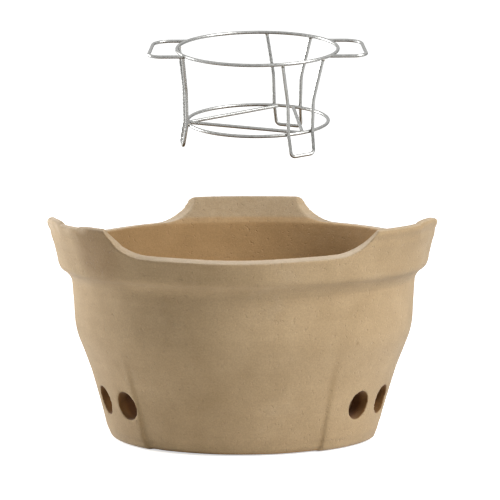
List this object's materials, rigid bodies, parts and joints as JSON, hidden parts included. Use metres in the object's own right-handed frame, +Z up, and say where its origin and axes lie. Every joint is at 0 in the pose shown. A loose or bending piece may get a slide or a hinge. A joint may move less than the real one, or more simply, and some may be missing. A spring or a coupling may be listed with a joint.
{
  "type": "charcoal brazier",
  "caption": "Thick clay fire bowl with raised rim lugs that carry a pot, paired air vents round its foot, and a loose welded wire rack that lifts out.",
  "frame": {"origin": "centre of the flat foot, on the table, on the bowl's axis", "axes": "+Z up along the bowl's axis, +X to the right, -Y to the front; one lug is at the back, near +Y"},
  "size_m": [0.3364, 0.3343, 0.3485],
  "materials": {
    "clay": "unglazed, matt and slightly rough",
    "wire": "bright drawn stainless wire, satin"
  },
  "bodies": {
    "brazier": {"brazier_body": "clay"},
    "rack": {"rack_top_ring": "wire", "rack_handle_left": "wire", "rack_handle_right": "wire", "rack_leg_left": "wire", "rack_leg_rear_right": "wire", "rack_leg_front_right": "wire", "rack_lower_ring": "wire", "rack_triangle": "wire"}
  },
  "joints": [
    {"name": "rack_lift", "type": "hinge", "parent": "brazier", "child": "rack", "pos_m": [0.0133, -1.5614, 0.2192], "axis": [1, 0, 0], "range_deg": [-8.6, 0]}
  ]
}
